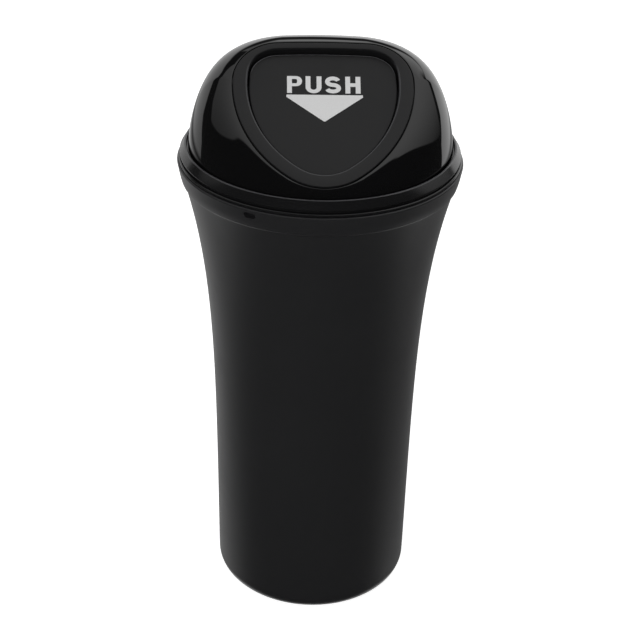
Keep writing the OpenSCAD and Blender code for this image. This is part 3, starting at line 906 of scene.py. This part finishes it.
INK_T = 0.04
LETTER_LOW, LETTER_H = 8.6, 6.5
STROKE = 1.55
LABEL_DROP = 0.4
ARROW_LEFT, ARROW_RIGHT = -11.7, 12.6
ARROW_TOP, ARROW_SHOULDER, ARROW_TIP = 7.95, 7.1, -2.1
TIP_LEFT, TIP_RIGHT = 0.1, 0.55


def arc_points(x, y, radius_x, radius_y, start, end, steps=14):
    """Points of an elliptic arc between two angles in degrees."""
    angle = np.radians(np.linspace(start, end, steps + 1))
    return np.stack([x + radius_x * np.cos(angle), y + radius_y * np.sin(angle)], -1)


def ribbon(middle, width):
    """Outline of a stroke of even width along a middle line."""
    way = np.gradient(middle, axis=0)
    way /= np.linalg.norm(way, axis=1)[:, None]
    side = np.stack([-way[:, 1], way[:, 0]], -1) * width / 2
    return np.concatenate([middle + side, (middle - side)[::-1]])


def letter_p(w, h, t):
    """Stem with a half-round bowl: an outer line and the counter."""
    bowl = h * 0.6
    r = bowl / 2
    outer = np.concatenate([
        [[0, 0], [t, 0], [t, h - bowl]], arc_points(w - r * 0.95, h - r, r * 0.95, r, -90, 90), [[0, h]]])
    s = r - t * 0.72
    counter = np.concatenate([
        [[t, h - r - s]], arc_points(w - r * 0.95, h - r, r * 0.95 - t, s, -90, 90), [[t, h - r + s]]])
    return [outer, counter]


def letter_u(w, h, t):
    """Two stems joined by a half-round foot."""
    r = w / 2
    return [np.concatenate([
        [[0, h]], arc_points(r, r * 0.9, r, r * 0.9, 180, 360, 24), [[w, h], [w - t, h]],
        arc_points(r, r * 0.9, r - t, r * 0.9 - t * 0.85, 360, 180, 24), [[t, h]]])]


def letter_s(w, h, t):
    """A stroke along two arcs that turn opposite ways."""
    t = t * 0.94
    rx, ry = w / 2 - t / 2, (h - t) / 4
    upper = arc_points(w / 2, h - t / 2 - ry, rx * 0.94, ry, 18, 270, 30)
    lower = arc_points(w / 2, t / 2 + ry, rx, ry, 90, -162, 30)
    middle = np.concatenate([upper[:-2], lower[2:]])
    return [ribbon(middle, t)]


def letter_h(w, h, t):
    """Two stems and a bar."""
    low, high = h / 2 - t * 0.4, h / 2 + t * 0.46
    return [np.array([
        [0, 0], [t, 0], [t, low], [w - t, low], [w - t, 0], [w, 0], [w, h], [w - t, h],
        [w - t, high], [t, high], [t, h], [0, h]])]


# Each letter with its left edge and its width
LETTERS = ((letter_p, -11.49, 4.77), (letter_u, -5.58, 5.06), (letter_s, 0.51, 5.18), (letter_h, 7.08, 4.83))


def arrow():
    """Broad arrow that points down the flap, with blunt ends."""
    return [rounded(
        [[ARROW_LEFT, ARROW_TOP], [ARROW_RIGHT, ARROW_TOP], [ARROW_RIGHT, ARROW_SHOULDER],
         [TIP_RIGHT, ARROW_TIP], [TIP_LEFT, ARROW_TIP], [ARROW_LEFT, ARROW_SHOULDER]],
        [0.15, 0.15, 0.15, 0.1, 0.1, 0.15], 3, closed=True)]


def make_label():
    """Letters and arrow as flat curves, filled, made a mesh and laid on the flap's face."""
    curve = bpy.data.curves.new("label", "CURVE")
    curve.dimensions = "2D"
    curve.fill_mode = "BOTH"
    curve.extrude = INK_T / 2
    loops = [line + [x, LETTER_LOW] for draw, x, width in LETTERS for line in draw(width, LETTER_H, STROKE)]
    for line in loops + arrow():
        spline = curve.splines.new("POLY")
        spline.points.add(len(line) - 1)
        flat = np.column_stack([line, np.zeros(len(line)), np.ones(len(line))])
        spline.points.foreach_set("co", flat.ravel())
        spline.use_cyclic_u = True
    drawn = bpy.data.objects.new("label", curve)
    data = bpy.data.meshes.new_from_object(drawn)
    bpy.data.objects.remove(drawn)
    flat = np.zeros(len(data.vertices) * 3)
    data.vertices.foreach_get("co", flat)
    flat = flat.reshape(-1, 3)
    raised = on_face(flat[:, :2] - [0, LABEL_DROP], flat[:, 2] - FLAP_SINK + INK_T / 2) * MM
    data.vertices.foreach_set("co", raised.ravel())
    data.update()
    piece = bpy.data.objects.new("label_print", data)
    bpy.context.scene.collection.objects.link(piece)
    return piece


# Camera, floor and light

CAMERA_BACK = 475.8
CAMERA_HEIGHT = 380.2
CAMERA_PITCH = math.radians(30.222)
CAMERA_YAW = math.radians(0.158)
CAMERA_ROLL = math.radians(1.504)
BIN_TURN = math.radians(2.1)
FOCAL_PX = 1560.3
PHOTO_PX = 640
SENSOR = 36.0
FLOOR_HALF = 6.0
FLOOR_SHADE = 0.8
FLOOR_GLOW = 0.78
LAMP_PLACE = (-0.35, -1.15, 0.75)
LAMP_AIM = (0, 0, 0.11)
LAMP_SIZE = 0.9
LAMP_WATTS = 11


def make_camera():
    """Camera as fitted to the photo: placed behind its distance and height, turned by the bin's own turn."""
    data = bpy.data.cameras.new("camera")
    data.sensor_width = SENSOR
    data.lens = SENSOR * FOCAL_PX / PHOTO_PX
    data.clip_start = 0.01
    data.clip_end = 50
    camera = bpy.data.objects.new("camera", data)
    bpy.context.scene.collection.objects.link(camera)
    turn = Matrix.Rotation(-BIN_TURN, 4, "Z")
    aim = Matrix.Rotation(-CAMERA_YAW, 4, "Z") @ Matrix.Rotation(math.pi / 2 - CAMERA_PITCH, 4, "X")
    aim = aim @ Matrix.Rotation(CAMERA_ROLL, 4, "Z")
    back = Matrix.Translation(Vector((0, -CAMERA_BACK, CAMERA_HEIGHT)) * MM)
    camera.matrix_world = turn @ back @ aim
    bpy.context.scene.camera = camera


def make_floor():
    """Plain pale floor: white for the camera but for the soft shadow, and pale in the light it sends
    back."""
    corners = [(x * FLOOR_HALF, y * FLOOR_HALF, 0) for x, y in ((-1, -1), (1, -1), (1, 1), (-1, 1))]
    data = bpy.data.meshes.new("floor")
    data.from_pydata(corners, [], [(0, 1, 2, 3)])
    floor = bpy.data.objects.new("floor", data)
    bpy.context.scene.collection.objects.link(floor)
    material = bpy.data.materials.new("floor_white")
    material.use_nodes = True
    tree = material.node_tree
    tree.nodes.clear()
    seen = tree.nodes.new("ShaderNodeLightPath").outputs["Is Camera Ray"]
    diffuse = tree.nodes.new("ShaderNodeBsdfDiffuse")
    diffuse.inputs["Color"].default_value = (FLOOR_SHADE, FLOOR_SHADE, FLOOR_SHADE, 1)
    glow = tree.nodes.new("ShaderNodeEmission")
    glow.inputs["Color"].default_value = (1, 1, 1, 1)
    tree.links.new(math_node(tree, "MULTIPLY", seen, FLOOR_GLOW), glow.inputs["Strength"])
    both = tree.nodes.new("ShaderNodeAddShader")
    tree.links.new(diffuse.outputs[0], both.inputs[0])
    tree.links.new(glow.outputs[0], both.inputs[1])
    tree.links.new(both.outputs[0], tree.nodes.new("ShaderNodeOutputMaterial").inputs["Surface"])
    data.materials.append(material)
    floor.visible_glossy = False


def make_world():
    """Studio round the bin, as a brightness for each direction: x to the right, y to the back, z up.
    Behind stands a pale backdrop, dark in its middle, and above it a rear panel that meets the broad
    overhead panel. A dark gap runs between them, and the table glows faintly at the sides and behind.
    The camera sees plain white."""
    world = bpy.data.worlds.new("studio")
    bpy.context.scene.world = world
    world.use_nodes = True
    tree = world.node_tree
    tree.nodes.clear()
    way = tree.nodes.new("ShaderNodeTexCoord").outputs["Generated"]
    split = tree.nodes.new("ShaderNodeSeparateXYZ")
    tree.links.new(way, split.inputs[0])
    x, y, z = split.outputs

    def above(value, limit, soft):
        """0 below a limit and 1 above it, with a soft edge."""
        node = tree.nodes.new("ShaderNodeMapRange")
        node.interpolation_type = "SMOOTHSTEP"
        tree.links.new(value, node.inputs["Value"])
        node.inputs["From Min"].default_value = limit - soft
        node.inputs["From Max"].default_value = limit + soft
        return node.outputs["Result"]

    def level(*terms, base=0.0):
        """Base plus each value times its factor."""
        total = base
        for value, factor in terms:
            total = math_node(tree, "MULTIPLY_ADD", value, factor, total)
        return total

    def most(value, other):
        return math_node(tree, "MAXIMUM", value, other)

    def least(value, other):
        return math_node(tree, "MINIMUM", value, other)

    def product(*values):
        total = values[0]
        for value in values[1:]:
            total = math_node(tree, "MULTIPLY", total, value)
        return total

    # Backdrop: above the floor's far edge, under a top that falls towards the middle
    right = most(x, 0)
    left = most(level((x, -1)), 0)
    sunk = least(most(level((z, -1), base=-0.02), 0), 0.12)
    backdrop_top = least(level((y, 0.25), (right, 0.6), (left, 0.6)), level((left, 1.03), (right, 0.65)))
    backdrop = product(
        above(level((y, 1), (sunk, 0.8)), 0.61, 0.012), above(level((backdrop_top, 1), (z, -1)), 0, 0.04),
        above(level((z, 1), (x, 0.04)), -0.3, 0.03),
        level((x, 0.3), (z, 0.5), base=0.85))

    # Rear panel: over the backdrop, lower at the sides
    rear = product(
        above(level((z, 1), (left, -0.55), (right, -0.3)), 0.21, 0.04), above(x, -0.31, 0.02),
        above(level((x, -1)), -0.62, 0.06), above(y, 0.35, 0.02), level((x, 0.8), base=0.7))

    # Overhead panel: its far and near edges, then its left and right ones, brighter upwards
    high = most(level((z, 1), base=-0.55), 0)
    low_left = product(most(level((z, -1), base=0.3), 0), left)
    behind = above(level((x, 0.068), (high, 0.5), (low_left, -0.6), (y, -1)), -0.475, 0.012)
    before = above(level((x, 0.09), (y, 1)), -0.245, 0.02)
    left_edge = level((z, 1), (y, 0.59), (most(left, 0.6), 0.87), (right, 2), base=-1.185)
    right_edge = level((z, 1), (y, 0.81), (most(right, 0.6), 0.53), (left, 2), base=-0.793)
    below = above(least(left_edge, right_edge), 0, 0.015)
    rising = product(z, level((x, 0.45), base=0.9))
    overhead = product(behind, before, below, level((rising, 1), base=0.15))

    # Table: a glow below, at the sides and close behind the bin
    near = product(above(level((z, -1)), 0.72, 0.1), above(y, 0.2, 0.1))
    left_glow = product(left, level((product(y, y), 1.5), base=-0.15))
    shine = level((y, 0.45), (product(right, y), -0.25), (left_glow, 1), (near, 1.2), base=0.1)
    table = product(above(level((z, -1)), 0.33, 0.06), most(shine, 0))

    lit = most(most(backdrop, rear), most(overhead, table))
    dim = most(lit, 0.03)
    seen = tree.nodes.new("ShaderNodeLightPath").outputs["Is Camera Ray"]
    background = tree.nodes.new("ShaderNodeBackground")
    background.inputs["Color"].default_value = (1, 1, 1, 1)
    tree.links.new(most(dim, seen), background.inputs["Strength"])
    tree.links.new(background.outputs[0], tree.nodes.new("ShaderNodeOutputWorld").inputs["Surface"])


def area_light(name, place_at, aim_at, size, watts):
    """Round soft lamp that lights surfaces but isn't mirrored in them."""
    data = bpy.data.lights.new(name, "AREA")
    data.shape = "DISK"
    data.size = size
    data.energy = watts
    lamp = bpy.data.objects.new(name, data)
    lamp.location = place_at
    lamp.rotation_mode = "QUATERNION"
    lamp.rotation_quaternion = (Vector(place_at) - Vector(aim_at)).to_track_quat("Z", "Y")
    lamp.visible_glossy = False
    bpy.context.scene.collection.objects.link(lamp)


make_camera()
make_floor()
make_world()
area_light("front_light", LAMP_PLACE, LAMP_AIM, LAMP_SIZE, LAMP_WATTS)
bpy.context.scene.view_settings.view_transform = "Standard"

place(make_barrel(), "barrel", "satin_black", SATIN, "barrel")
place(make_bag_ring(), "barrel", "satin_black", SMOOTH, "bag_ring")
place(make_collar(), "lid", "satin_black", SMOOTH, "lid_collar")
place(make_dome(), "lid", "gloss_black", GLOSS, "lid_dome")
place(make_bezel(), "lid", "matt_black", MATT, "flap_bezel")
place(make_flap(), "flap", "matt_charcoal", CHARCOAL, "flap")
spring_coil, spring_arm = make_spring()
place(spring_coil, "lid", "steel", STEEL, "return_spring")
place(spring_arm, "flap", "steel", STEEL, "return_spring")
label = make_label()
label.data.materials.append(INK)
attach(label, "flap")
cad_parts["hinge_pin"].data.materials.clear()
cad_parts["hinge_pin"].data.materials.append(STEEL)
